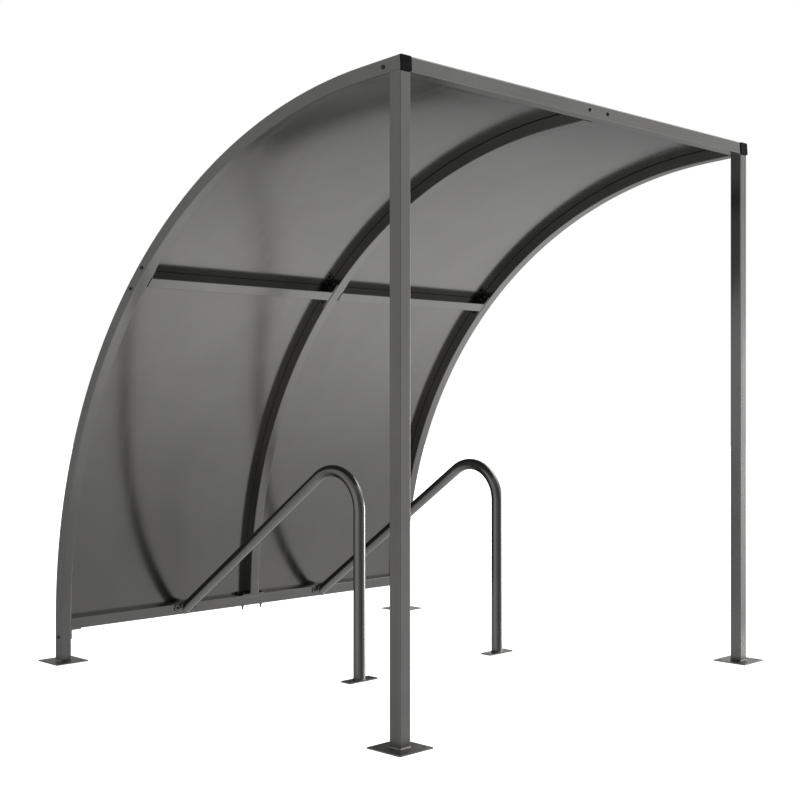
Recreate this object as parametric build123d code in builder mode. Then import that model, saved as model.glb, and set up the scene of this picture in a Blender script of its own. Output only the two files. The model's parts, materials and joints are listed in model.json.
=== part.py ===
from build123d import *

import os
from math import acos, atan2, cos, degrees, hypot, radians, sin, sqrt

os.makedirs("parts", exist_ok=True)

# Bike shelter: two posts, three arches, curved wall and roof sheets, two bike hoops.
# X runs along the open front, Y from the front to the rear, Z up.
# The origin is on the floor, midway between the four feet. All sizes are in millimetres.

# Overall frame
overall_height = 2300
frame_width = 2128
frame_depth = 2116
arch_leg_height = 196
arch_front_run = 75
roof_slope = 3.3
mid_rail_angle = 45

# Square tube of the posts, arches and rails
tube_size = 50
tube_wall = 2
tube_inner_corner = 1

# Curved wall and roof sheets
sheet_thickness = 1.5
sheet_joint = 4
sheet_clearance = 0.1
sheet_margin = 3

# Base plates under the posts and the arches
base_plate_size = 157
base_plate_thickness = 5
base_hole_spacing = 114
base_hole_diameter = 14

# Flanges that bolt one tube to another
flange_thickness = 5
flange_width = 44
bolt_offset = 57
bolt_edge_distance = 13
bolt_hole_diameter = 9
bracket_leg_length = 52
bracket_bend_radius = 4

# End caps in the open front ends of the side arches
cap_thickness = 4
cap_overhang = 1.2
cap_edge_radius = 1.5
cap_stem_length = 18
cap_clearance = 0.3

# Bike hoops
hoop_spacing = 866
hoop_shift = 13.5
hoop_setback = 882
hoop_height = 886
hoop_diameter = 50
hoop_wall = 2
hoop_bend_radius = 162
hoop_foot_length = 155
hoop_foot_width = 56
hoop_foot_thickness = 6
hoop_hole_spacing = 116
hoop_hole_diameter = 12
hoop_wall_plate_length = 130
hoop_wall_plate_height = 64
hoop_wall_plate_end_radius = 16
hoop_wall_plate_thickness = 5

# Places that follow from the sizes
half_tube = tube_size / 2
tube_corner = tube_inner_corner + tube_wall
tube_inside = tube_size - 2 * tube_wall
side_x = frame_width / 2
front_y = -frame_depth / 2
rear_y = frame_depth / 2
front_face_y = front_y - half_tube
rear_face_y = rear_y + half_tube
arch_top = overall_height - sheet_thickness
bottom_rail_top = arch_leg_height - flange_thickness
bottom_rail_z = bottom_rail_top - half_tube
bottom_rail_bottom = bottom_rail_top - tube_size
arch_inner_x = side_x - half_tube
side_rail_end = arch_inner_x - flange_thickness
middle_rail_end = half_tube + flange_thickness
flange_reach = bolt_offset + bolt_edge_distance
flange_length = 2 * flange_reach

# An arch goes up its leg, round its bend and straight on to the front, where it still rises by the roof's
# slope. The bend is the largest one that leaves the leg and the front run at least their lengths.
slope_rise = sin(radians(roof_slope))
slope_level = cos(radians(roof_slope))
arch_depth = rear_face_y - front_face_y
room_radius = (arch_depth - arch_front_run * slope_level) / (1 - slope_rise)
room_curve_z = arch_top - room_radius * slope_level - arch_front_run * slope_rise
curve_z = max(arch_leg_height, room_curve_z)
arch_radius = ((arch_top - curve_z) * slope_level - arch_depth * slope_rise) / (1 - slope_rise)
front_run = (arch_depth - arch_radius * (1 - slope_rise)) / slope_level
sheet_radius = arch_radius + sheet_thickness
curve_y = rear_face_y - arch_radius
run_forward = (0, -slope_level, slope_rise)
run_back = (0, slope_level, -slope_rise)
run_up = (0, slope_rise, slope_level)


def front_spot(back, below):
    """A place in Y and Z on the front run: so far back from its end and so far below its upper face."""
    y = front_face_y + back * slope_level - below * slope_rise
    z = arch_top - back * slope_rise - below * slope_level
    return y, z


# The round sheets rest on the two edges of a mid rail's flat outer face.
mid_rail_flat = half_tube - tube_corner
mid_rail_radius = sqrt((arch_radius - sheet_clearance) ** 2 - mid_rail_flat**2) - half_tube
mid_rail_y = curve_y + mid_rail_radius * cos(radians(mid_rail_angle))
mid_rail_z = curve_z + mid_rail_radius * sin(radians(mid_rail_angle))
mid_rail_out = (0, cos(radians(mid_rail_angle)), sin(radians(mid_rail_angle)))
mid_rail_along = (0, -sin(radians(mid_rail_angle)), cos(radians(mid_rail_angle)))

# Bolts through the arches, as places in Y and Z: above and below the mid rail, behind the front rail,
# and below the bottom rail
mid_bolt_spots = [
    (mid_rail_y + shift * mid_rail_along[1], mid_rail_z + shift * mid_rail_along[2])
    for shift in (-bolt_offset, bolt_offset)
]
front_bolt_spot = front_spot(half_tube + bolt_offset, half_tube)
bottom_bolt_spot = (rear_y, bottom_rail_z - bolt_offset)

# Places of the hoops and of their plates on the bottom rail
hoop_xs = {"left": hoop_shift - hoop_spacing / 2, "right": hoop_shift + hoop_spacing / 2}
wall_plate_y = rear_y - half_tube
wall_plate_z = bottom_rail_bottom + hoop_wall_plate_height / 2
wall_bolt_offset = hoop_wall_plate_length / 2 - hoop_wall_plate_end_radius


def save(piece, label):
    piece.part.label = label
    export_step(piece.part, f"parts/{label}.step")


def draw_square_tube():
    RectangleRounded(tube_size, tube_size, tube_corner)
    RectangleRounded(tube_inside, tube_inside, tube_inner_corner, mode=Mode.SUBTRACT)


def drill(bolt_planes, depth):
    """Bolt holes in the piece at hand, to the same depth on both sides of each plane."""
    for bolt_plane in bolt_planes:
        with Locations(bolt_plane):
            Hole(bolt_hole_diameter / 2, depth)


def make_straight_tube(plane, length, through_bolts=(), face_bolts=()):
    with BuildPart() as tube:
        with BuildSketch(plane):
            draw_square_tube()
        extrude(amount=length)
        drill(through_bolts, tube_size)
        drill(face_bolts, half_tube)
    return tube


def make_post(x):
    """A tube from the base plate up to the arch, cut at its top to the slope of the arch's lower face."""
    with BuildPart() as post:
        with BuildSketch(Plane((x, front_y, base_plate_thickness))):
            draw_square_tube()
        extrude(amount=arch_top - base_plate_thickness)
        split(bisect_by=Plane((x, *front_spot(half_tube, tube_size)), z_dir=run_up), keep=Keep.BOTTOM)
    return post


def make_plate(plane, length, width, thickness, hole_spots, hole_diameter):
    with BuildPart() as plate:
        with BuildSketch(plane):
            Rectangle(length, width)
            with hole_spots:
                Circle(hole_diameter / 2, mode=Mode.SUBTRACT)
        extrude(amount=thickness)
    return plate


def make_bracket(corner_plane, bolt_spot):
    """A folded angle: one leg lies along a rail, from the plane's origin, the other is bolted to an arch."""
    arch_leg_length = flange_reach - half_tube
    with BuildPart() as bracket:
        with BuildSketch(corner_plane) as profile:
            Rectangle(bracket_leg_length, flange_thickness, align=(Align.MIN, Align.MIN))
            Rectangle(flange_thickness, arch_leg_length, align=(Align.MIN, Align.MIN))
            inner_corner = profile.vertices().sort_by_distance((flange_thickness, flange_thickness))[0]
            fillet(inner_corner, radius=bracket_bend_radius)
            outer_corner = profile.vertices().sort_by_distance((0, 0))[0]
            fillet(outer_corner, radius=bracket_bend_radius + flange_thickness)
        extrude(amount=flange_width / 2, both=True)
        drill([Plane(bolt_spot, z_dir=(1, 0, 0))], tube_size)
    return bracket


def make_arch(x, foot_z, run_length, bolt_spots):
    """An arch in the plane at x: a leg up from foot_z, a bend and a straight run to the front."""
    with BuildPart() as arch:
        if foot_z < curve_z:
            with BuildSketch(Plane((x, rear_y, foot_z))):
                draw_square_tube()
            extrude(amount=curve_z - foot_z)
        with BuildSketch(Plane((x, rear_y, curve_z))):
            draw_square_tube()
        revolve(axis=Axis((x, curve_y, curve_z), (1, 0, 0)), revolution_arc=90 - roof_slope)
        with BuildSketch(Plane((x, *front_spot(front_run, half_tube)), x_dir=(1, 0, 0), z_dir=run_forward)):
            draw_square_tube()
        extrude(amount=run_length)
        drill([Plane((x, y, z), z_dir=(1, 0, 0)) for y, z in bolt_spots], tube_size)
    return arch


def make_cap(x):
    """A plastic cap that closes an arch's front end, with a stem that plugs into the tube."""
    tube_mouth = Plane((x, *front_spot(0, half_tube)), x_dir=(1, 0, 0), z_dir=run_forward)
    head_size = tube_size + 2 * cap_overhang
    stem_size = tube_inside - 2 * cap_clearance
    with BuildPart() as cap:
        with BuildSketch(tube_mouth):
            RectangleRounded(head_size, head_size, tube_corner + cap_overhang)
        extrude(amount=cap_thickness)
        fillet(cap.faces().sort_by(Axis.Y)[0].edges(), radius=cap_edge_radius)
        with BuildSketch(tube_mouth):
            RectangleRounded(stem_size, stem_size, tube_inner_corner)
        extrude(amount=-cap_stem_length)
    return cap


def make_sheet(low_x, high_x, start_angle, end_angle, flat_end, inner_edge, outer_edge):
    """A sheet that is round between two angles and runs on flat, past end 0 or 1 of the arc, to an edge."""
    round_end = 1 - flat_end
    with BuildPart() as sheet:
        with BuildSketch(Plane.YZ.offset(low_x)):
            with BuildLine():
                inside = CenterArc((curve_y, curve_z), arch_radius, start_angle, end_angle - start_angle)
                outside = CenterArc((curve_y, curve_z), sheet_radius, start_angle, end_angle - start_angle)
                Polyline(inside @ flat_end, inner_edge, outer_edge, outside @ flat_end)
                Line(inside @ round_end, outside @ round_end)
            make_face()
        extrude(amount=high_x - low_x)
    return sheet


def make_hoop(x):
    """A bent round tube: upright leg, round bend, and a slope down to its plate on the bottom rail."""
    leg_y = front_y + hoop_setback
    bend_y = leg_y + hoop_bend_radius
    bend_z = hoop_height - hoop_diameter / 2 - hoop_bend_radius
    end_y = wall_plate_y - hoop_wall_plate_thickness
    reach = hypot(end_y - bend_y, wall_plate_z - bend_z)
    tangent_angle = atan2(wall_plate_z - bend_z, end_y - bend_y) + acos(hoop_bend_radius / reach)
    past_y = end_y + hoop_diameter * sin(tangent_angle)
    past_z = wall_plate_z - hoop_diameter * cos(tangent_angle)
    with BuildPart() as hoop:
        with BuildLine(Plane.YZ.offset(x)):
            Line((leg_y, hoop_foot_thickness), (leg_y, bend_z))
            bend = CenterArc((bend_y, bend_z), hoop_bend_radius, 180, degrees(tangent_angle) - 180)
            Line(bend @ 1, (past_y, past_z))
        with BuildSketch(Plane((x, leg_y, hoop_foot_thickness))):
            Circle(hoop_diameter / 2)
            Circle(hoop_diameter / 2 - hoop_wall, mode=Mode.SUBTRACT)
        sweep()
        split(bisect_by=Plane((x, end_y, wall_plate_z), z_dir=(0, -1, 0)), keep=Keep.TOP)
    return hoop


def make_wall_plate(x):
    """A plate with a round middle behind the hoop's tube and a narrower round end about each bolt."""
    plate_plane = Plane((x, wall_plate_y, wall_plate_z), x_dir=(1, 0, 0), z_dir=(0, -1, 0))
    bolts = GridLocations(2 * wall_bolt_offset, wall_bolt_offset, 2, 1)
    with BuildPart() as plate:
        with BuildSketch(plate_plane) as outline:
            Circle(hoop_wall_plate_height / 2)
            with bolts:
                Circle(hoop_wall_plate_end_radius)
            make_hull(outline.edges())
            with bolts:
                Circle(bolt_hole_diameter / 2, mode=Mode.SUBTRACT)
        extrude(amount=hoop_wall_plate_thickness)
    return plate


# Posts, side arches and their base plates, one of each on both sides
for side, x in (("left", -side_x), ("right", side_x)):
    save(make_post(x), f"{side}_post")
    arch_bolt_spots = [*mid_bolt_spots, front_bolt_spot, bottom_bolt_spot]
    save(make_arch(x, base_plate_thickness, front_run, arch_bolt_spots), f"{side}_arch")
    save(make_cap(x), f"{side}_arch_end_cap")
    for carried, y in (("post", front_y), ("arch", rear_y)):
        plate = make_plate(
            Plane((x, y, 0)),
            base_plate_size,
            base_plate_size,
            base_plate_thickness,
            GridLocations(base_hole_spacing, base_hole_spacing, 2, 2),
            base_hole_diameter,
        )
        save(plate, f"{side}_{carried}_base_plate")

# Middle arch, between its foot flange on the bottom rail and its head flange behind the front rail
head_spot = front_spot(tube_size, half_tube)
middle_run = front_run - tube_size - flange_thickness
save(make_arch(0, arch_leg_height, middle_run, mid_bolt_spots), "middle_arch")
foot_plane = Plane((0, rear_y, bottom_rail_top))
head_plane = Plane((0, *head_spot), x_dir=(1, 0, 0), z_dir=run_back)
bolt_pair = GridLocations(2 * bolt_offset, bolt_offset, 2, 1)
for end, flange_plane in (("foot", foot_plane), ("head", head_plane)):
    flange = make_plate(
        flange_plane, flange_length, flange_width, flange_thickness, bolt_pair, bolt_hole_diameter
    )
    save(flange, f"middle_arch_{end}_flange")

# Front rail and bottom rail, which run from one side arch to the other
front_rail_spot = front_spot(half_tube, half_tube)
front_rail_plane = Plane((-arch_inner_x, *front_rail_spot), x_dir=run_back, z_dir=(1, 0, 0))
head_bolts = [Plane((x, *front_rail_spot), z_dir=run_back) for x in (-bolt_offset, bolt_offset)]
save(make_straight_tube(front_rail_plane, 2 * arch_inner_x, head_bolts), "front_rail")
bottom_rail_plane = Plane((-arch_inner_x, rear_y, bottom_rail_z), x_dir=(0, 1, 0), z_dir=(1, 0, 0))
foot_bolts = [Plane((x, rear_y, bottom_rail_z)) for x in (-bolt_offset, bolt_offset)]
hoop_bolts = [
    Plane((hoop_x + shift, wall_plate_y, wall_plate_z), z_dir=(0, 1, 0))
    for hoop_x in hoop_xs.values()
    for shift in (-wall_bolt_offset, wall_bolt_offset)
]
save(make_straight_tube(bottom_rail_plane, 2 * arch_inner_x, foot_bolts, hoop_bolts), "bottom_rail")

# Their ends are held by angle brackets, behind the front rail and below the bottom rail
for side, arch_x, inward in (("left", -side_x, 1), ("right", side_x, -1)):
    corner_x = -inward * arch_inner_x
    bracket_up = (0, inward * slope_rise, inward * slope_level)
    front_plane = Plane((corner_x, *head_spot), x_dir=(inward, 0, 0), z_dir=bracket_up)
    save(make_bracket(front_plane, (arch_x, *front_bolt_spot)), f"front_rail_{side}_flange")
    bottom_corner = (corner_x, rear_y, bottom_rail_bottom)
    bottom_plane = Plane(bottom_corner, x_dir=(inward, 0, 0), z_dir=(0, inward, 0))
    save(make_bracket(bottom_plane, (arch_x, *bottom_bolt_spot)), f"bottom_rail_{side}_flange")

# Mid rails, turned so that their outer faces carry the sheets, each with a flange on both ends
mid_rail_length = side_rail_end - middle_rail_end
for side, start_x in (("left", -side_rail_end), ("right", middle_rail_end)):
    end_x = start_x + mid_rail_length
    rail_plane = Plane((start_x, mid_rail_y, mid_rail_z), x_dir=mid_rail_out, z_dir=(1, 0, 0))
    save(make_straight_tube(rail_plane, mid_rail_length), f"{side}_mid_rail")
    for end, flange_x in (("left", start_x - flange_thickness), ("right", end_x)):
        flange_plane = Plane((flange_x, mid_rail_y, mid_rail_z), x_dir=mid_rail_along, z_dir=(1, 0, 0))
        flange = make_plate(
            flange_plane, flange_length, flange_width, flange_thickness, bolt_pair, bolt_hole_diameter
        )
        save(flange, f"{side}_mid_rail_{end}_flange")

# Sheets, which meet over the middle arch and over the mid rails
sheet_edge_x = side_x + half_tube - sheet_margin
sheet_bottom_z = bottom_rail_bottom + sheet_margin
joint_half_angle = degrees(sheet_joint / 2 / arch_radius)
bottom_edge = ((rear_face_y, sheet_bottom_z), (rear_face_y + sheet_thickness, sheet_bottom_z))
front_edge = (front_spot(sheet_margin, 0), front_spot(sheet_margin, -sheet_thickness))
joint_x = sheet_joint / 2
for side, low_x, high_x in (("left", -sheet_edge_x, -joint_x), ("right", joint_x, sheet_edge_x)):
    wall_sheet = make_sheet(low_x, high_x, 0, mid_rail_angle - joint_half_angle, 0, *bottom_edge)
    save(wall_sheet, f"lower_{side}_sheet")
    roof_start = mid_rail_angle + joint_half_angle
    roof_sheet = make_sheet(low_x, high_x, roof_start, 90 - roof_slope, 1, *front_edge)
    save(roof_sheet, f"upper_{side}_sheet")

# Bike hoops, each on a foot plate on the floor and a plate on the bottom rail
for side, x in hoop_xs.items():
    save(make_hoop(x), f"{side}_hoop")
    foot = make_plate(
        Plane((x, front_y + hoop_setback, 0)),
        hoop_foot_length,
        hoop_foot_width,
        hoop_foot_thickness,
        GridLocations(hoop_hole_spacing, hoop_hole_spacing, 2, 1),
        hoop_hole_diameter,
    )
    save(foot, f"{side}_hoop_foot_plate")
    save(make_wall_plate(x), f"{side}_hoop_wall_plate")
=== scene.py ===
# %% [markdown]
# # A bike shelter dressed from its CAD frame
# The shelter is an open frame of square steel tube: two posts, three quarter-round arches and a few
# rails carry curved wall and roof sheets over two bent hoops that bikes are locked to.
# The tubes, plates, sheets and hoops come from the CAD model as they are, and this lesson adds what such
# a model leaves out: the finishes, the bolts and screws, the weld beads, the light and the camera.

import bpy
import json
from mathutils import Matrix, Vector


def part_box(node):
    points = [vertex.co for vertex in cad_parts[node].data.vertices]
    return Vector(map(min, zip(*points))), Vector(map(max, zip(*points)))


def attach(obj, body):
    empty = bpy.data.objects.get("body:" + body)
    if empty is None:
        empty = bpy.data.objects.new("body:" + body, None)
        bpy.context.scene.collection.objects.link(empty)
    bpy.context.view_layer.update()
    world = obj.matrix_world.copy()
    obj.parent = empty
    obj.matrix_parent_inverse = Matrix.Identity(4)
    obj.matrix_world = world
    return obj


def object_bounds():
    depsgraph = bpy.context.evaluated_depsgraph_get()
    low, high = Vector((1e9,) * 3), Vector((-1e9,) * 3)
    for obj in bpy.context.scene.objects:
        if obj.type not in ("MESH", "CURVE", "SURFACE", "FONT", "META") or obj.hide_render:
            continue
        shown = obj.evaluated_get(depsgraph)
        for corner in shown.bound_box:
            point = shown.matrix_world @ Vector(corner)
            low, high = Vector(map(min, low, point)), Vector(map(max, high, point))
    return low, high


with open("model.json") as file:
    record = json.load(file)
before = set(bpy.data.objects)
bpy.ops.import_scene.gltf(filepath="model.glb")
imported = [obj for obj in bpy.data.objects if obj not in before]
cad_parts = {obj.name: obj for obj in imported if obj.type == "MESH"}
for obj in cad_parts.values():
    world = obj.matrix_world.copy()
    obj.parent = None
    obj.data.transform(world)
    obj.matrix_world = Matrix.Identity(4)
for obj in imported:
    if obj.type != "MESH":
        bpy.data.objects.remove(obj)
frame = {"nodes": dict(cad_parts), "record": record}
nodes = frame["nodes"]
cad_low, cad_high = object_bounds()
cad_size = [round(size, 3) for size in cad_high - cad_low]
print("loaded", len(nodes), "CAD nodes in a box of", cad_size, "m")

# %% [markdown]
# ## Where things are
# Everything that is added has to sit on a tube or a plate, so its place is read from the CAD nodes'
# boxes instead of being typed in. All three arches bend round one line that runs along the shelter, then
# go straight on to the front, where they still rise by 3.3 degrees, so that rain runs to the rear. The
# bend starts at the middle arch's foot, and its radius follows from where the straight run ends.

# %% Read the main places from the CAD boxes
from math import acos, atan2, cos, degrees, pi, radians, sin, tan

from mathutils import Matrix, Vector

roof_slope = radians(3.3)
run_back = Vector((0, cos(roof_slope), -sin(roof_slope)))
run_up = Vector((0, sin(roof_slope), cos(roof_slope)))

middle_arch_low, middle_arch_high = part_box("middle_arch")
right_arch_low, right_arch_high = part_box("right_arch")
half_tube = middle_arch_high.x
outer_x, inner_x = right_arch_high.x, right_arch_low.x
side_x = (outer_x + inner_x) / 2
bend_z = middle_arch_low.z
arch_rise = right_arch_high.z - bend_z
arch_depth = right_arch_high.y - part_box("right_post")[0].y
bend_radius = (arch_rise * run_up.z - arch_depth * run_up.y) / (1 - run_up.y)
bend_y = middle_arch_high.y - bend_radius


def box_middle(name):
    low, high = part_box(name)
    return (low + high) / 2


mid_rail = box_middle("right_mid_rail")
front_rail = box_middle("front_rail")
bottom_rail = box_middle("bottom_rail")
mid_rail_angle = atan2(mid_rail.z - bend_z, mid_rail.y - bend_y)
print("bend radius", round(bend_radius, 4), "about y", round(bend_y, 4), "z", round(bend_z, 4))
print("mid rail at", round(degrees(mid_rail_angle), 1), "degrees round the bend")

# %% [markdown]
# ## Shared effects as node groups
# Powder coat is never perfectly even: the paint has a fine orange-peel skin, its shade drifts a little
# over a long tube, and dust and splashes gather near the ground. This is wanted in every finish, so it is
# made once, as two node groups: one for the skin, with a grain that each finish sets, and one for the
# weather. Object coordinates are in metres, so a noise scale of 500 gives grains of about two millimetres.

# %% Helpers that build node groups
import bpy


def start_group(name, inputs, outputs):
    """A shader node group with float inputs at their usual values and named outputs."""
    group = bpy.data.node_groups.new(name, "ShaderNodeTree")
    for label, value in inputs.items():
        socket = group.interface.new_socket(label, in_out="INPUT", socket_type="NodeSocketFloat")
        socket.default_value = value
    for label in outputs:
        group.interface.new_socket(label, in_out="OUTPUT", socket_type="NodeSocketFloat")
    return group, group.nodes.new("NodeGroupInput"), group.nodes.new("NodeGroupOutput")


def add_noise(tree, place, scale, detail=2.0, roughness=0.5):
    """A noise texture at a place; the scale is a number or a socket."""
    noise = tree.nodes.new("ShaderNodeTexNoise")
    noise.inputs["Detail"].default_value = detail
    noise.inputs["Roughness"].default_value = roughness
    tree.links.new(place, noise.inputs["Vector"])
    if isinstance(scale, (int, float)):
        noise.inputs["Scale"].default_value = scale
    else:
        tree.links.new(scale, noise.inputs["Scale"])
    return noise.outputs["Fac"]


def add_math(tree, operation, *values):
    """A math node; each value is a number or a socket."""
    node = tree.nodes.new("ShaderNodeMath")
    node.operation = operation
    for socket, value in zip(node.inputs, values):
        if isinstance(value, (int, float)):
            socket.default_value = value
        else:
            tree.links.new(value, socket)
    return node.outputs["Value"]


def add_range(tree, value, low, high, to_low=0.0, to_high=1.0):
    """Maps a value from low..high to another range, eased at both ends."""
    node = tree.nodes.new("ShaderNodeMapRange")
    node.interpolation_type = "SMOOTHSTEP"
    limits = {"From Min": low, "From Max": high, "To Min": to_low, "To Max": to_high}
    for label, number in limits.items():
        if isinstance(number, (int, float)):
            node.inputs[label].default_value = number
        else:
            tree.links.new(number, node.inputs[label])
    tree.links.new(value, node.inputs["Value"])
    return node.outputs["Result"]


print("helpers for node groups are ready")

# %% Orange peel: the fine skin of powder coat
peel_inputs = {"Grain Scale": 700.0, "Ripple Scale": 90.0, "Ripple Share": 0.4}
peel, peel_in, peel_out = start_group("orange_peel", peel_inputs, ["Height", "Speckle"])
peel_place = peel.nodes.new("ShaderNodeTexCoord").outputs["Object"]
grain = add_noise(peel, peel_place, peel_in.outputs["Grain Scale"], detail=1.0)
ripple = add_noise(peel, peel_place, peel_in.outputs["Ripple Scale"], detail=1.0)
ripple_part = add_math(peel, "MULTIPLY", ripple, peel_in.outputs["Ripple Share"])
peel.links.new(add_math(peel, "ADD", grain, ripple_part), peel_out.inputs["Height"])
peel.links.new(add_range(peel, grain, 0.35, 0.65), peel_out.inputs["Speckle"])
print("group", peel.name, "with inputs", list(peel_inputs))

# %% Weathering: drifting shade, ground dust and rain streaks
weather_inputs = {"Dust Height": 0.22, "Streak Scale": 26.0}
drift_scale, splash_scale, streak_stretch = 3.2, 45.0, (1.0, 0.12, 0.06)

weather, weather_in, weather_out = start_group("weathering", weather_inputs, ["Drift", "Dust", "Streaks"])
weather_place = weather.nodes.new("ShaderNodeTexCoord").outputs["Object"]
drift = add_noise(weather, weather_place, drift_scale, detail=4.0, roughness=0.6)
weather.links.new(add_range(weather, drift, 0.3, 0.7), weather_out.inputs["Drift"])

place_parts = weather.nodes.new("ShaderNodeSeparateXYZ")
weather.links.new(weather_place, place_parts.inputs["Vector"])
splash = add_noise(weather, weather_place, splash_scale, detail=3.0, roughness=0.65)
near_ground = add_range(weather, place_parts.outputs["Z"], weather_in.outputs["Dust Height"], 0.0)
weather.links.new(add_math(weather, "MULTIPLY", near_ground, splash), weather_out.inputs["Dust"])

drawn_out = weather.nodes.new("ShaderNodeMapping")
drawn_out.inputs["Scale"].default_value = streak_stretch
weather.links.new(weather_place, drawn_out.inputs["Vector"])
streak = add_noise(weather, drawn_out.outputs["Vector"], weather_in.outputs["Streak Scale"], detail=3.0)
weather.links.new(add_range(weather, streak, 0.45, 0.75), weather_out.inputs["Streaks"])
print("group", weather.name, "with inputs", list(weather_inputs))

# %% [markdown]
# ## The finishes
# The frame and the sheets share one warm grey coat with fine metal flakes, so both are set to fully
# metallic: they mirror the light, the arches and the hoops softly, and all in a grey tint.
# The tubes' coat is a touch lighter and has the finer grain. The arch ends are closed with black moulded
# plastic, and the bolts are darkened steel. Every finish drifts in shade and gloss, because a single flat
# colour looks like plastic from a catalogue.

# %% A helper that builds one coated finish
dust_cover, dust_dulling, speckle_dulling = 0.22, 0.3, 0.02
peel_strength = 0.35


def coat_finish(name, dark, light, gloss, peel_values, bump_depth, dust_colour):
    """Two shades mixed by the drift, dust near the ground, a streaked gloss and an orange-peel bump."""
    finish = bpy.data.materials.new(name)
    finish.use_nodes = True
    tree = finish.node_tree
    shader = tree.nodes["Principled BSDF"]
    skin = tree.nodes.new("ShaderNodeGroup")
    skin.node_tree = peel
    for label, value in peel_values.items():
        skin.inputs[label].default_value = value
    wear = tree.nodes.new("ShaderNodeGroup")
    wear.node_tree = weather

    shades = tree.nodes.new("ShaderNodeMix")
    shades.data_type = "RGBA"
    shades.inputs["A"].default_value = (*dark, 1)
    shades.inputs["B"].default_value = (*light, 1)
    tree.links.new(wear.outputs["Drift"], shades.inputs["Factor"])
    dusted = tree.nodes.new("ShaderNodeMix")
    dusted.data_type = "RGBA"
    dusted.inputs["B"].default_value = (*dust_colour, 1)
    tree.links.new(add_math(tree, "MULTIPLY", wear.outputs["Dust"], dust_cover), dusted.inputs["Factor"])
    tree.links.new(shades.outputs["Result"], dusted.inputs["A"])
    tree.links.new(dusted.outputs["Result"], shader.inputs["Base Color"])

    smooth, rough = gloss
    streaked = add_range(tree, wear.outputs["Streaks"], 0.0, 1.0, smooth, rough)
    speckled = add_math(tree, "MULTIPLY_ADD", skin.outputs["Speckle"], speckle_dulling, streaked)
    dulled = add_math(tree, "MULTIPLY_ADD", wear.outputs["Dust"], dust_dulling, speckled)
    tree.links.new(dulled, shader.inputs["Roughness"])

    bump = tree.nodes.new("ShaderNodeBump")
    bump.inputs["Strength"].default_value = peel_strength
    bump.inputs["Distance"].default_value = bump_depth
    tree.links.new(skin.outputs["Height"], bump.inputs["Height"])
    tree.links.new(bump.outputs["Normal"], shader.inputs["Normal"])
    return finish


print("near the ground, dust covers up to", round(100 * dust_cover), "per cent of a finish")

# %% The four finishes
frame_paint = coat_finish(
    "frame_paint_finish",
    dark=(0.166, 0.164, 0.159), light=(0.182, 0.180, 0.175), gloss=(0.16, 0.20),
    peel_values={"Grain Scale": 900.0, "Ripple Scale": 120.0, "Ripple Share": 0.3},
    bump_depth=0.00004, dust_colour=(0.13, 0.12, 0.11),
)
sheet_paint = coat_finish(
    "sheet_paint_finish",
    dark=(0.160, 0.158, 0.154), light=(0.172, 0.170, 0.166), gloss=(0.16, 0.19),
    peel_values={"Grain Scale": 420.0, "Ripple Scale": 60.0, "Ripple Share": 0.6},
    bump_depth=0.00005, dust_colour=(0.13, 0.12, 0.11),
)
cap_plastic = coat_finish(
    "cap_plastic_finish",
    dark=(0.0025, 0.0025, 0.0025), light=(0.0045, 0.0045, 0.0045), gloss=(0.55, 0.65),
    peel_values={"Grain Scale": 1600.0, "Ripple Scale": 300.0, "Ripple Share": 0.2},
    bump_depth=0.0006, dust_colour=(0.02, 0.02, 0.02),
)
bolt_steel = coat_finish(
    "bolt_steel_finish",
    dark=(0.012, 0.012, 0.012), light=(0.022, 0.022, 0.022), gloss=(0.38, 0.5),
    peel_values={"Grain Scale": 2500.0, "Ripple Scale": 600.0, "Ripple Share": 0.4},
    bump_depth=0.0002, dust_colour=(0.12, 0.10, 0.08),
)
cap_plastic.node_tree.nodes["Principled BSDF"].inputs["Specular IOR Level"].default_value = 0.06
for paint in (frame_paint, sheet_paint):
    paint.node_tree.nodes["Principled BSDF"].inputs["Metallic"].default_value = 1.0
finishes = {
    "frame_paint": frame_paint,
    "sheet_paint": sheet_paint,
    "cap_plastic": cap_plastic,
    "bolt_steel": bolt_steel,
}
print("finishes:", sorted(finish.name for finish in finishes.values()))

# %% Give each CAD node the finish of its slot
slot_of = {part["node"]: part["material_slot"] for part in frame["record"]["subparts"]}
for name, node in nodes.items():
    node.data.materials.clear()
    node.data.materials.append(finishes[slot_of[name]])
print("painted", len(nodes), "CAD nodes")

# %% [markdown]
# ## Modelling by hand, in code
# The added pieces are modelled as one would at the screen: add a primitive, go into edit mode, select
# some faces, extrude or inset them. The selection is made in code, by where a face or a vertex is: two
# heights count as the same within a hair, and a face looks up when its normal is nearly upright.
# Loading the frame leaves every CAD node selected, and an operator works on all that is selected,
# so each piece starts with nothing selected.

# %% Helpers to start, select and shape a piece
import bmesh

hair = 0.0001
upright = 0.9
bevel_angle, smooth_angle = radians(40), radians(35)


def deselect_all():
    bpy.ops.object.select_all(action="DESELECT")


def begin_edit(name):
    """Names the new primitive, puts its place into its mesh and opens it in edit mode."""
    piece = bpy.context.object
    piece.name = name
    bpy.ops.object.transform_apply(location=True, rotation=True, scale=True)
    bpy.ops.object.mode_set(mode="EDIT")
    return piece


def pick_faces(piece, test, corners=None):
    """Selects the faces whose middle and normal pass a test, of all or of those with so many corners."""
    bpy.ops.mesh.select_mode(type="FACE")
    bpy.ops.mesh.select_all(action="DESELECT")
    shape = bmesh.from_edit_mesh(piece.data)
    for face in shape.faces:
        if corners in (None, len(face.verts)):
            face.select_set(bool(test(face.calc_center_median(), face.normal)))
    bmesh.update_edit_mesh(piece.data)


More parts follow.
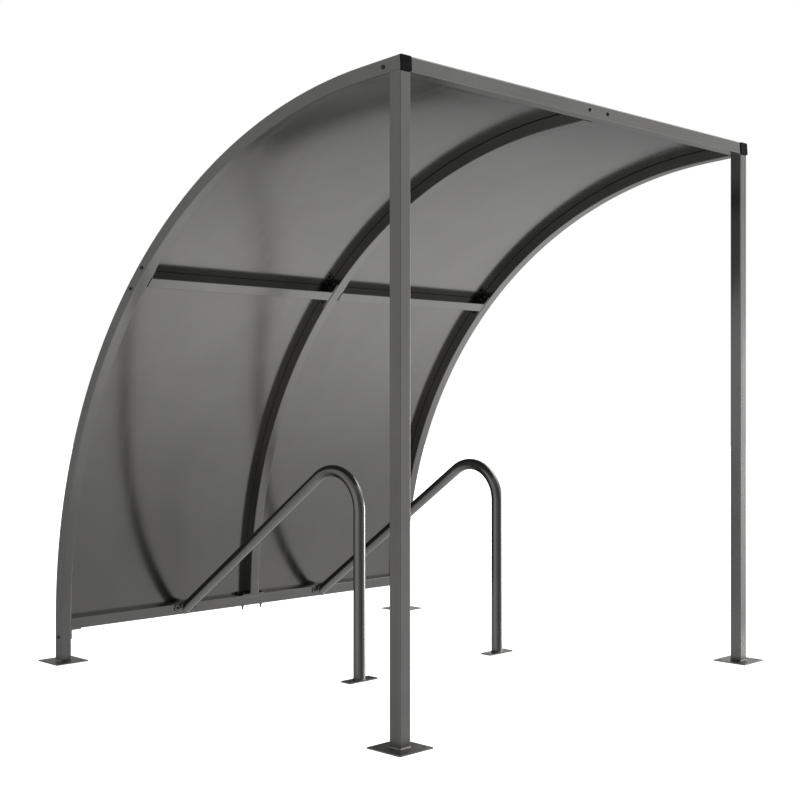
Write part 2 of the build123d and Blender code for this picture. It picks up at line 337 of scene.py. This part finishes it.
def pick_verts(piece, test):
    """Selects the vertices whose place passes a test, and the edges between them."""
    bpy.ops.mesh.select_mode(type="VERT")
    bpy.ops.mesh.select_all(action="DESELECT")
    shape = bmesh.from_edit_mesh(piece.data)
    for vert in shape.verts:
        vert.select_set(bool(test(vert.co)))
    shape.select_flush(True)
    bmesh.update_edit_mesh(piece.data)


def extrude_up(rise, share=1.0):
    """Extrudes the selected face along Z, then scales it in its plane."""
    bpy.ops.mesh.extrude_region_move(TRANSFORM_OT_translate={"value": (0, 0, rise)})
    if share != 1.0:
        bpy.ops.transform.resize(value=(share, share, 1))


def end_edit(piece, bevel=0.0):
    """Closes edit mode, softens the edges with a small bevel and shades the curves smooth."""
    bpy.ops.mesh.select_all(action="SELECT")
    bpy.ops.mesh.normals_make_consistent(inside=False)
    bpy.ops.object.mode_set(mode="OBJECT")
    if bevel:
        rounding = piece.modifiers.new("rounding", "BEVEL")
        rounding.width = bevel
        rounding.segments = 2
        rounding.limit_method = "ANGLE"
        rounding.angle_limit = bevel_angle
        bpy.ops.object.modifier_apply(modifier=rounding.name)
    bpy.ops.object.shade_smooth_by_angle(angle=smooth_angle)
    print("modelled", piece.name, "with", len(piece.data.polygons), "faces")


print("heights count as the same within", 1000 * hair, "mm")


# %% Helpers to place copies and join them
def place_copy(master, seat, outward, along, spin=0.0):
    """A copy with its own mesh: its Z axis points outward, its X axis along, then it is spun about Z."""
    deselect_all()
    master.select_set(True)
    bpy.context.view_layer.objects.active = master
    bpy.ops.object.duplicate()
    copy = bpy.context.object
    turn = Matrix((along, outward.cross(along), outward)).transposed().to_4x4()
    copy.matrix_world = Matrix.Translation(seat) @ turn @ Matrix.Rotation(spin, 4, "Z")
    bpy.ops.object.transform_apply(location=True, rotation=True, scale=True)
    return copy


def join_pieces(copies, name, slot_name):
    """Joins copies to one piece that rides on the frame and takes the finish of a slot."""
    deselect_all()
    for copy in copies:
        copy.select_set(True)
    bpy.context.view_layer.objects.active = copies[0]
    bpy.ops.object.join()
    piece = bpy.context.object
    piece.name = name
    piece.data.name = name
    piece.data.materials.clear()
    piece.data.materials.append(finishes[slot_name])
    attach(piece, "root")
    print("placed", len(copies), "in", name, "-", len(piece.data.polygons), "faces")


print("joined pieces choose from", len(finishes), "finishes")

# %% [markdown]
# ## The bolts
# Flanges and brackets are bolted through the tubes with M8 bolts: a low domed head with a hexagon socket
# sits on a washer outside, a nut on a washer inside. The head is a turned shape, so it grows from the
# washer, a short cylinder, by insetting and extruding its end face. The socket is a six-sided ring that
# is bridged to the dome's round edge. The shank runs into the tube, where it can't be seen. The nut is a
# six-sided cylinder on its washer, and the bolt's threaded end grows out of it, a narrower and a wider
# ring for each turn.

# %% Model the bolt with its washer, domed head, socket and shank
washer_radius, washer_depth = 0.008, 0.0016
shank_radius, shank_length = 0.004, 0.045
head_radius, socket_radius, socket_depth = 0.007, 0.0029, 0.0024
dome_steps = ((0.0012, 1.0), (0.0014, 0.91), (0.0011, 0.82), (0.0006, 0.72))
head_top = washer_depth + sum(rise for rise, _ in dome_steps)
edge_softness = 0.0002

deselect_all()
bpy.ops.mesh.primitive_cylinder_add(
    vertices=24, radius=washer_radius, depth=washer_depth, location=(0, 0, washer_depth / 2)
)
bolt = begin_edit("dome_head_bolt")
pick_faces(bolt, lambda middle, normal: normal.z > upright)
bpy.ops.mesh.inset(thickness=washer_radius - head_radius)
for rise, share in dome_steps:
    extrude_up(rise, share)
bpy.ops.mesh.delete(type="ONLY_FACE")
bpy.ops.mesh.primitive_circle_add(vertices=6, radius=socket_radius, location=(0, 0, head_top))
pick_verts(bolt, lambda place: place.z > head_top - hair)
bpy.ops.mesh.bridge_edge_loops()
pick_verts(bolt, lambda place: place.z > head_top - hair and place.xy.length < socket_radius + hair)
extrude_up(-socket_depth)
bpy.ops.mesh.edge_face_add()
pick_faces(bolt, lambda middle, normal: normal.z < -upright and middle.z < hair)
bpy.ops.mesh.inset(thickness=washer_radius - shank_radius)
extrude_up(-shank_length)
end_edit(bolt, bevel=edge_softness)

# %% Model the nut with its washer and the bolt's threaded end
nut_height, nut_radius, nut_crown = 0.0065, 0.0075, 0.0008
nut_top = washer_depth + nut_height
thread_pitch, thread_waist, thread_start, thread_corners = 0.00125, 0.86, 0.002, 12
thread_tip, tip_share = 0.0012, 0.7


def model_nut(name, turns):
    """A washer, a hexagon nut on it, and a threaded end that sticks out by some turns."""
    deselect_all()
    bpy.ops.mesh.primitive_cylinder_add(
        vertices=24, radius=washer_radius, depth=washer_depth, location=(0, 0, washer_depth / 2)
    )
    nut = begin_edit(name)
    bpy.ops.mesh.primitive_cylinder_add(
        vertices=6, radius=nut_radius, depth=nut_height, location=(0, 0, washer_depth + nut_height / 2)
    )
    pick_faces(nut, lambda middle, normal: normal.z > upright and middle.z > nut_top - hair)
    bpy.ops.mesh.bevel(offset=nut_crown, segments=2, affect="EDGES")
    bpy.ops.mesh.primitive_cylinder_add(
        vertices=thread_corners, radius=shank_radius, depth=thread_start,
        location=(0, 0, nut_top - thread_start / 2),
    )
    pick_faces(nut, lambda middle, normal: normal.z > upright and middle.z > nut_top - hair, thread_corners)
    for _ in range(turns):
        extrude_up(thread_pitch / 2, thread_waist)
        extrude_up(thread_pitch / 2, 1 / thread_waist)
    extrude_up(thread_tip, tip_share)
    end_edit(nut)
    return nut


short_nut = model_nut("nut_with_short_end", 3)
long_nut = model_nut("nut_with_long_end", 11)

# %% [markdown]
# ## Bolting the frame
# Each bolt is given by the place of its head's seat, the way the head faces, and the grip: how far
# behind the head the nut sits. A side arch takes two bolts at the mid rail's flange, one behind the front
# rail and one below the bottom rail. The middle arch takes two through both its mid rail flanges, the
# front rail and the foot flange take a pair each, and a hoop's plate is held by two that end in the rail.

# %% Work out where the bolts go
bolt_offset, plate_end_margin = 0.057, 0.016
bolt_turn, nut_turn, first_nut_turn = 0.7, 0.9, 0.4
mid_rail_along = Vector((0, -sin(mid_rail_angle), cos(mid_rail_angle)))
mid_bolts = [mid_rail + side * bolt_offset * mid_rail_along for side in (-1, 1)]
front_bolt = front_rail + bolt_offset * run_back
bottom_bolt = bottom_rail - Vector((0, 0, bolt_offset))
print("mid rail bolts at", [[round(value, 4) for value in spot.yz] for spot in mid_bolts])

# %% Place the bolts
mid_flange_low, mid_flange_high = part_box("right_mid_rail_left_flange")
flange_thickness = mid_flange_high.x - mid_flange_low.x
tube_grip = 2 * half_tube + flange_thickness
middle_grip = tube_grip + flange_thickness
x_axis, y_axis, z_axis = Matrix.Identity(3)


def fit_bolts(name, seats, outward, along, grip, nut):
    """Bolts on their seats, all facing the same way, and their nuts one grip behind."""
    copies = []
    for count, seat in enumerate(seats):
        copies.append(place_copy(bolt, seat, outward, along, spin=bolt_turn * count))
        if nut:
            nut_seat = seat - grip * outward
            spin = first_nut_turn + nut_turn * count
            copies.append(place_copy(nut, nut_seat, -outward, along, spin))
    join_pieces(copies, name, "bolt_steel")


for side, sign in (("left", -1), ("right", 1)):
    seats = [Vector((sign * outer_x, spot.y, spot.z)) for spot in (*mid_bolts, front_bolt, bottom_bolt)]
    fit_bolts(f"{side}_arch_bolts", seats, sign * x_axis, y_axis, tube_grip, short_nut)
middle_seats = [Vector((-middle_grip / 2, spot.y, spot.z)) for spot in mid_bolts]
fit_bolts("middle_arch_bolts", middle_seats, -x_axis, y_axis, middle_grip, short_nut)

pair_shifts = (-bolt_offset * x_axis, bolt_offset * x_axis)
head_seats = [front_rail - half_tube * run_back + shift for shift in pair_shifts]
fit_bolts("front_rail_bolts", head_seats, -run_back, x_axis, tube_grip, short_nut)
foot_seats = [bottom_rail + (half_tube + flange_thickness) * z_axis + shift for shift in pair_shifts]
fit_bolts("middle_arch_foot_bolts", foot_seats, z_axis, x_axis, tube_grip, long_nut)
for side in ("left", "right"):
    plate_low, plate_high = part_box(f"{side}_hoop_wall_plate")
    plate_face = box_middle(f"{side}_hoop_wall_plate")
    plate_face.y = plate_low.y
    reach = (plate_high.x - plate_low.x) / 2 - plate_end_margin
    plate_seats = [plate_face + shift * x_axis for shift in (-reach, reach)]
    fit_bolts(f"{side}_hoop_bolts", plate_seats, -y_axis, x_axis, 0, None)

# %% [markdown]
# ## The sheet screws
# From outside, the sheets are held to the arches and rails by self-drilling screws: a six-sided head on
# a sealing washer. The photograph shows only the inside, so they are set out plainly, about 0.3 metres
# apart. With dozens of them, each has to be light: a short cylinder for the washer and a six-sided
# one for the head, each inset, bevelled or extruded once.

# %% Model one sheet screw
seal_radius, seal_depth, seal_rim, seal_rise = 0.007, 0.0018, 0.0012, 0.0007
cap_radius, cap_depth, cap_middle, cap_bevel = 0.0045, 0.0042, 0.0044, 0.0006
point_radius, point_length = 0.0025, 0.012
seal_taper, point_taper = 0.95, 0.8

deselect_all()
bpy.ops.mesh.primitive_cylinder_add(
    vertices=18, radius=seal_radius, depth=seal_depth, location=(0, 0, seal_depth / 2)
)
screw = begin_edit("sheet_screw")
pick_faces(screw, lambda middle, normal: normal.z > upright)
bpy.ops.mesh.inset(thickness=seal_rim)
extrude_up(seal_rise, seal_taper)
bpy.ops.mesh.primitive_cylinder_add(
    vertices=6, radius=cap_radius, depth=cap_depth, location=(0, 0, cap_middle)
)
pick_faces(screw, lambda middle, normal: normal.z > upright and middle.z > cap_middle)
bpy.ops.mesh.bevel(offset=cap_bevel, segments=1, affect="EDGES")
pick_faces(screw, lambda middle, normal: normal.z < -upright and middle.z < hair)
bpy.ops.mesh.inset(thickness=seal_radius - point_radius)
extrude_up(-point_length, point_taper)
end_edit(screw)

# %% Place the sheet screws, one joined piece for each sheet
sheet_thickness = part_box("lower_left_sheet")[1].y - right_arch_high.y
sheet_radius = bend_radius + sheet_thickness
joint_setback, screw_turn = 0.013, 0.5
joint_half_angle = joint_setback / sheet_radius
rail_xs = (0.26, 0.52, 0.80)
lower_angles = [radians(angle) for angle in (2, 11, 20, 29, 38)]
upper_angles = [radians(angle) for angle in (53, 61, 69, 77, 85)]


def round_seat(x, angle):
    """The place on the outside of the sheets at an angle round the bend, and the way it faces."""
    outward = Vector((0, cos(angle), sin(angle)))
    return Vector((x, bend_y, bend_z)) + sheet_radius * outward, outward


for side, sign in (("left", -1), ("right", 1)):
    arch_xs = (sign * joint_setback, sign * side_x)
    lower_spots = [round_seat(x, angle) for x in arch_xs for angle in lower_angles]
    upper_spots = [round_seat(x, angle) for x in arch_xs for angle in upper_angles]
    for x in (sign * value for value in (joint_setback, *rail_xs, side_x)):
        lower_spots.append(round_seat(x, mid_rail_angle - joint_half_angle))
        upper_spots.append(round_seat(x, mid_rail_angle + joint_half_angle))
        upper_spots.append((front_rail + x * x_axis + (half_tube + sheet_thickness) * run_up, run_up))
    for x in (sign * value for value in rail_xs):
        lower_spots.append((bottom_rail + x * x_axis + (half_tube + sheet_thickness) * y_axis, y_axis))
    for level, spots in (("lower", lower_spots), ("upper", upper_spots)):
        copies = []
        for count, (seat, outward) in enumerate(spots):
            copies.append(place_copy(screw, seat, outward, x_axis, spin=screw_turn * count))
        join_pieces(copies, f"{level}_{side}_sheet_screws", "bolt_steel")

# %% [markdown]
# ## The weld beads
# Base plates, hoop plates and flanges are welded on before the frame is coated, so a small rounded bead
# runs round each joint under the paint. A bead round a tube starts as the outline of its outer edge on
# the plate, three insets, each raised, carry it up to the tube's wall, and a bridge closes it behind. The
# hoop meets its wall plate aslant, so there the outline is an oval that leans with the tube and ends flush
# with the plate's edges.

# %% Model the beads round a square tube and round a hoop's foot
bead_leg, tube_corner = 0.004, 0.003
bead_profile = ((0.3, 0.55), (0.4, 0.3), (0.4, 0.15))


def raise_bead(lean=0.0):
    """Raises a flat outline to a rounded bead whose inner edge stands just inside the tube's wall."""
    bpy.ops.mesh.select_all(action="SELECT")
    for inward, rise in bead_profile:
        bpy.ops.mesh.inset(thickness=bead_leg * inward)
        bpy.ops.transform.translate(value=(0, lean * bead_leg * rise, bead_leg * rise))
    bpy.ops.mesh.delete(type="FACE")
    bpy.ops.mesh.select_all(action="SELECT")
    bpy.ops.mesh.region_to_loop()
    bpy.ops.mesh.bridge_edge_loops()


deselect_all()
bpy.ops.mesh.primitive_plane_add(size=2 * (half_tube + bead_leg))
tube_bead = begin_edit("tube_foot_bead")
bpy.ops.mesh.bevel(offset=tube_corner + bead_leg, segments=6, affect="VERTICES")
raise_bead()
end_edit(tube_bead)

hoop_low, hoop_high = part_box("left_hoop")
hoop_radius = (hoop_high.x - hoop_low.x) / 2
deselect_all()
bpy.ops.mesh.primitive_circle_add(vertices=40, radius=hoop_radius + bead_leg, fill_type="NGON")
hoop_bead = begin_edit("hoop_foot_bead")
raise_bead()
end_edit(hoop_bead)

# %% Model the oval bead where a hoop meets its wall plate
left_hoop = nodes["left_hoop"]
hoop_places = [left_hoop.matrix_world @ vert.co for vert in left_hoop.data.vertices]
end_heights = [place.z for place in hoop_places if place.y > hoop_high.y - hair]
oval_middle = (max(end_heights) + min(end_heights)) / 2
oval_rise = (max(end_heights) - min(end_heights)) / 2
hoop_slant = acos(hoop_radius / oval_rise)
wall_plate_low, wall_plate_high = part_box("left_hoop_wall_plate")
deselect_all()
bpy.ops.mesh.primitive_circle_add(vertices=40, radius=hoop_radius + bead_leg, fill_type="NGON")
oval_bead = begin_edit("hoop_wall_bead")
bpy.ops.transform.resize(value=(1, (oval_rise + bead_leg) / (hoop_radius + bead_leg), 1))
raise_bead(lean=tan(hoop_slant))
for sign, limit in ((1, wall_plate_high.z - oval_middle), (-1, oval_middle - wall_plate_low.z)):
    pick_verts(oval_bead, lambda place: sign * place.y > limit)
    bpy.ops.transform.resize(value=(1, 0, 1), center_override=(0, sign * limit, 0))
end_edit(oval_bead)
print("the hoop leaves its wall plate", round(degrees(hoop_slant), 1), "degrees off square")

# %% Model a straight bead for the flanges
bead_length, bead_steps, bead_sink, ripple_waist = 0.044, 14, 0.0003, 0.86
deselect_all()
bpy.ops.mesh.primitive_circle_add(
    vertices=16, radius=bead_leg, fill_type="NGON",
    location=(0, -bead_length / 2, 0), rotation=(pi / 2, 0, 0),
)
straight_bead = begin_edit("straight_bead")
for wall in (x_axis, z_axis):
    bpy.ops.mesh.select_all(action="SELECT")
    bpy.ops.mesh.bisect(plane_co=-bead_sink * wall, plane_no=wall, clear_inner=True)
bpy.ops.mesh.select_all(action="SELECT")
for step in range(bead_steps):
    swell = ripple_waist if step % 2 else 1 / ripple_waist
    bpy.ops.mesh.extrude_region_move(TRANSFORM_OT_translate={"value": (0, bead_length / bead_steps, 0)})
    bpy.ops.transform.resize(value=(swell, 1, swell), center_override=(0, 0, 0))
end_edit(straight_bead)

# %% Place the beads round the tubes and hoops
def plate_top(name):
    place = box_middle(name)
    place.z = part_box(name)[1].z
    return place


foot_beads = []
for side in ("left", "right"):
    for carried in ("post", "arch"):
        foot_seat = plate_top(f"{side}_{carried}_base_plate")
        foot_beads.append(place_copy(tube_bead, foot_seat, z_axis, x_axis))
join_pieces(foot_beads, "frame_foot_beads", "frame_paint")
for side in ("left", "right"):
    foot_bead = place_copy(hoop_bead, plate_top(f"{side}_hoop_foot_plate"), z_axis, x_axis)
    wall_seat = Vector((box_middle(f"{side}_hoop").x, wall_plate_low.y, oval_middle))
    wall_bead = place_copy(oval_bead, wall_seat, -y_axis, x_axis)
    join_pieces([foot_bead, wall_bead], f"{side}_hoop_beads", "frame_paint")

# %% Place the straight beads at the flanges
flange_beads = []
head_face = box_middle("middle_arch_head_flange") + flange_thickness / 2 * run_back
for sign in (-1, 1):
    tube_wall = sign * half_tube * x_axis
    foot_seat = plate_top("middle_arch_foot_flange") + tube_wall
    flange_beads.append(place_copy(straight_bead, foot_seat, z_axis, sign * x_axis))
    flange_beads.append(place_copy(straight_bead, head_face + tube_wall, run_back, sign * x_axis))
    for side in ("left", "right"):
        for end, inward in (("left", x_axis), ("right", -x_axis)):
            flange_face = box_middle(f"{side}_mid_rail_{end}_flange") + flange_thickness / 2 * inward
            rail_wall = flange_face + sign * half_tube * mid_rail_along
            flange_beads.append(place_copy(straight_bead, rail_wall, inward, sign * mid_rail_along))
join_pieces(flange_beads, "flange_beads", "frame_paint")

# %% Clear the masters away
masters = (bolt, short_nut, long_nut, screw, tube_bead, hoop_bead, oval_bead, straight_bead)
for master in masters:
    bpy.data.objects.remove(master)

# %% [markdown]
# ## Floor and light
# The photograph is a studio picture: a white ground that runs into a white background, with no shadow to
# speak of. The floor is a wide white disc that only the camera sees, so it throws no light of its own
# back. All light comes from the world as soft round lamps, above and below, as in a tent of white cloth.
# Each has an azimuth, an elevation, a sharpness and a level, and its shine falls off with the angle from
# that direction. Azimuths start at the open front and go round by the right. One narrow, strong lamp at
# the right draws the thin light lines along the hoops and the tubes' edges.

# %% The floor
deselect_all()
floor_radius, floor_rim = 30, 20
bpy.ops.mesh.primitive_circle_add(vertices=64, radius=floor_radius, fill_type="NGON")
floor = begin_edit("studio_floor")
bpy.ops.mesh.inset(thickness=floor_rim)
end_edit(floor)
floor.visible_diffuse = floor.visible_glossy = False
floor.visible_transmission = floor.visible_shadow = False
floor_white = bpy.data.materials.new("floor_white")
floor_white.use_nodes = True
floor_shader = floor_white.node_tree.nodes["Principled BSDF"]
floor_shader.inputs["Base Color"].default_value = (0.8, 0.8, 0.8, 1)
floor_shader.inputs["Roughness"].default_value = 0.9
floor_shader.inputs["Specular IOR Level"].default_value = 0.1
floor_shader.inputs["Emission Color"].default_value = (1, 1, 1, 1)
floor_shader.inputs["Emission Strength"].default_value = 1.0
floor.data.materials.append(floor_white)

# %% List the soft lamps
lamps = {
    "front": (0, 5, 8, 0.15),
    "front right": (45, 5, 8, 0.70),
    "right": (90, 5, 8, 0.60),
    "edge light": (75, -2, 100, 16.00),
    "high right": (82, 42, 20, 4.00),
    "rear right": (130, 20, 30, 0.80),
    "rear": (180, 5, 12, 0.45),
    "rear left": (225, 5, 8, 0.50),
    "left": (270, 5, 8, 0.80),
    "front left": (315, 5, 8, 0.16),
    "high front right": (45, 48, 8, 0.60),
    "high rear right": (135, 48, 8, 0.40),
    "high rear left": (225, 48, 8, 0.40),
    "high front left": (315, 48, 8, 0.28),
    "high rear": (180, 48, 8, 0.50),
    "above": (0, 90, 8, 0.40),
    "low front right": (45, -40, 8, 0.54),
    "low right": (90, -40, 8, 1.14),
    "low rear right": (138, -34, 12, 0.38),
    "low rear left": (225, -40, 8, 0.38),
    "low left": (270, -40, 8, 0.47),
    "low front left": (315, -40, 8, 0.77),
    "below": (0, -90, 8, 0.83),
}
print(len(lamps), "soft lamps:", ", ".join(lamps))

# %% Add the lamps up in the world's light
world = bpy.data.worlds.new("studio")
bpy.context.scene.world = world
world.use_nodes = True
sky = world.node_tree
looked_at = sky.nodes.new("ShaderNodeTexCoord").outputs["Generated"]
total = 0.0
for azimuth, elevation, sharpness, level in lamps.values():
    turn, lift = radians(azimuth), radians(elevation)
    facing = sky.nodes.new("ShaderNodeVectorMath")
    facing.operation = "DOT_PRODUCT"
    facing.inputs[1].default_value = (cos(lift) * sin(turn), -cos(lift) * cos(turn), sin(lift))
    sky.links.new(looked_at, facing.inputs[0])
    shine = add_math(sky, "POWER", add_math(sky, "MAXIMUM", facing.outputs["Value"], 0.0), sharpness)
    total = add_math(sky, "MULTIPLY_ADD", shine, level, total)
seen = sky.nodes.new("ShaderNodeLightPath").outputs["Is Camera Ray"]
lit = add_math(sky, "MULTIPLY_ADD", total, add_math(sky, "SUBTRACT", 1.0, seen), seen)
background = sky.nodes["Background"]
background.inputs["Color"].default_value = (1, 1, 1, 1)
sky.links.new(lit, background.inputs["Strength"])
print("the world's light has", len(sky.nodes), "nodes")

# %% [markdown]
# ## The camera
# The photograph looks at the near front corner from about chest height, level and square to the corner's
# diagonal, through a slightly long lens. The camera's place was worked out from the feet, the posts and
# the arch in the picture. It stays level, so the posts stay upright, and a small shift of the lens sets
# the picture's height.

# %% The camera and the picture's tones
camera_data = bpy.data.cameras.new("front_corner_camera")
camera = bpy.data.objects.new("front_corner_camera", camera_data)
bpy.context.scene.collection.objects.link(camera)
camera.location = (-4.1960, -4.1924, 1.1526)
camera.rotation_euler = (pi / 2, 0, radians(-44.978))
camera_data.sensor_width = 36
camera_data.lens = 60.04
camera_data.shift_y = 0.00198
bpy.context.scene.camera = camera
bpy.context.scene.view_settings.view_transform = "Standard"
print("camera at", [round(value, 3) for value in camera.location])

# %% [markdown]
# ## Finish

# %% Finish
import json
